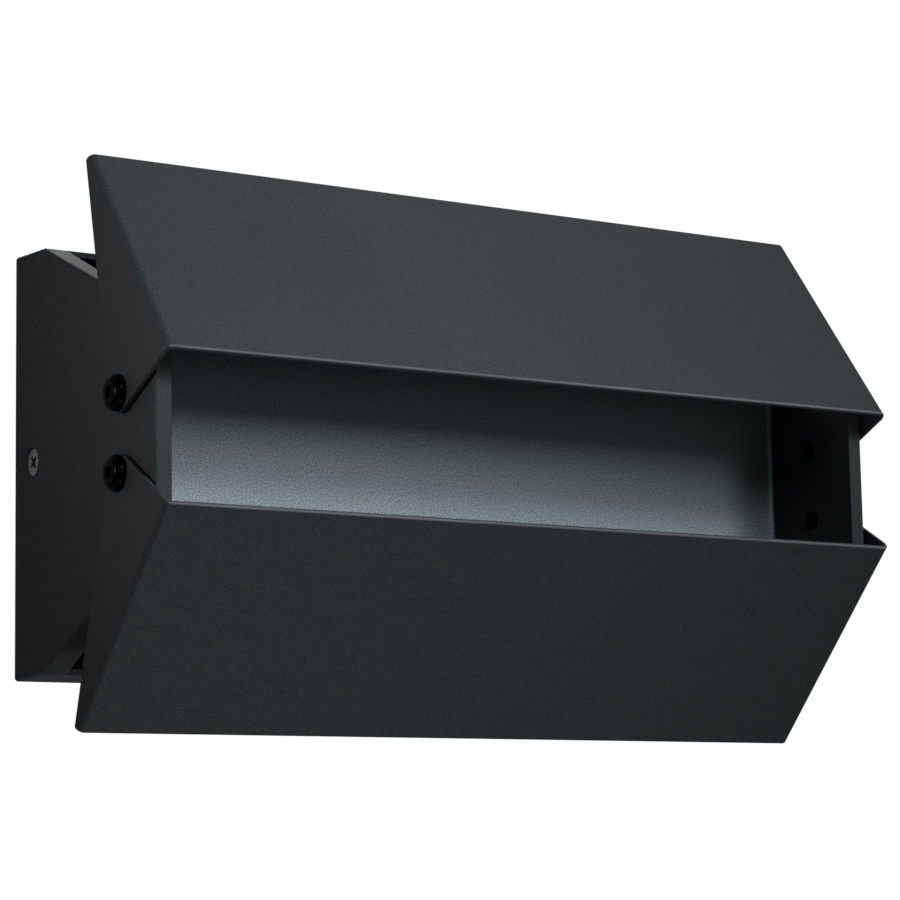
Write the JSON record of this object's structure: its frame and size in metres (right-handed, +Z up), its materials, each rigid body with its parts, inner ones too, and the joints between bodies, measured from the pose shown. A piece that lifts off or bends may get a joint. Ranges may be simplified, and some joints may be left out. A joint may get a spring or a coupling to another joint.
{
  "type": "wall sconce",
  "caption": "Outdoor LED wall sconce: dark cast housing on a wall bracket, with an upper and a lower sheet-metal flap that tilt on screws to shape the light.",
  "frame": {"origin": "on the wall plane, at the middle of the wall bracket's screw pattern", "axes": "+X to the right seen from the front, +Z up, +Y into the wall, so the front faces -Y"},
  "size_m": [0.2354, 0.0906, 0.1482],
  "materials": {
    "housing_coat": "matte",
    "flap_coat": "matte",
    "black_screws": "gloss",
    "washer_nylon": "matte",
    "plain_screws": "satin",
    "zinc_sheet": "satin",
    "plain_aluminium": "satin",
    "seal_rubber": "matte",
    "grommet_rubber": "matte",
    "zinc_screws": "polished",
    "window_glass": "polished",
    "board_white": "satin",
    "led_phosphor": "gloss",
    "driver_case": "matte",
    "terminal_plastic": "satin",
    "earth_brass": "satin",
    "lead_insulation": "satin"
  },
  "bodies": {
    "housing": {"housing": "housing_coat", "pivot_screws": "black_screws", "pivot_washers": "washer_nylon", "side_screws": "plain_screws", "wall_bracket": "zinc_sheet", "rear_cover": "plain_aluminium", "rear_cover_gasket": "seal_rubber", "rear_cover_screws": "zinc_screws", "cable_grommet": "grommet_rubber", "upper_glass_gasket": "seal_rubber", "lower_glass_gasket": "seal_rubber", "upper_glass": "window_glass", "lower_glass": "window_glass", "upper_led_tray": "plain_aluminium", "lower_led_tray": "plain_aluminium", "tray_screws": "zinc_screws", "upper_led_board": "board_white", "lower_led_board": "board_white", "upper_leds": "led_phosphor", "lower_leds": "led_phosphor", "board_screws": "zinc_screws", "led_driver": "driver_case", "terminal_block": "terminal_plastic", "mounting_screws": "zinc_screws", "earth_screw": "earth_brass", "upper_led_leads": "lead_insulation", "lower_led_leads": "lead_insulation", "input_leads": "lead_insulation"},
    "upper_flap": {"upper_flap": "flap_coat"},
    "lower_flap": {"lower_flap": "flap_coat"}
  },
  "joints": [
    {"name": "upper_flap_hinge", "type": "hinge", "parent": "housing", "child": "upper_flap", "pos_m": [0, -0.0645, 0.0101], "axis": [1, 0, 0], "range_deg": [-28.5, 32.4]},
    {"name": "lower_flap_hinge", "type": "hinge", "parent": "housing", "child": "lower_flap", "pos_m": [0, -0.0645, -0.0101], "axis": [-1, 0, 0], "range_deg": [-22.6, 38.3]}
  ]
}
